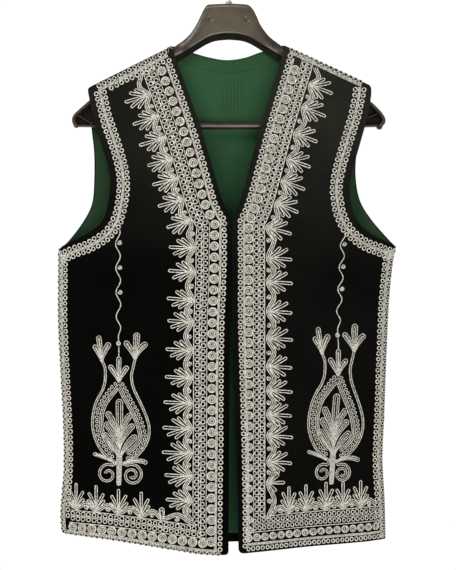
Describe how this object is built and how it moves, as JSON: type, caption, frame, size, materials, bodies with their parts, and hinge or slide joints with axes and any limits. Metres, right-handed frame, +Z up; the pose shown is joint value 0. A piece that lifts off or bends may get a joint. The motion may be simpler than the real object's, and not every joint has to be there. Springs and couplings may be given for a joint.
{
  "type": "embroidered folk vest on a hanger",
  "caption": "Sleeveless open-front velvet vest with raised corded borders and a vase motif on each front, green lining, hanging on a moulded plastic hanger.",
  "frame": {"origin": "inside top of the hanger's hook, where the rail carries it", "axes": "+Z up, the vest's front faces -Y, +X to the viewer's right (the wearer's left)"},
  "size_m": [0.4821, 0.0721, 0.8353],
  "materials": {
    "velvet": "black cotton velvet",
    "lining": "green satin lining",
    "cord": "silver-cream couched cord",
    "hanger_plastic": "dark brown gloss",
    "hook_steel": "bright zinc"
  },
  "bodies": {
    "root": {"front_right": "velvet", "front_left": "velvet", "back": "velvet", "back_lining": "lining", "border_cords_right": "cord", "border_cords_left": "cord", "vase_cords_right": "cord", "vase_cords_left": "cord", "spray_cords_right": "cord", "spray_cords_left": "cord", "hanger_body": "hanger_plastic", "trouser_bar": "hanger_plastic", "hanger_hook": "hook_steel"}
  },
  "joints": []
}
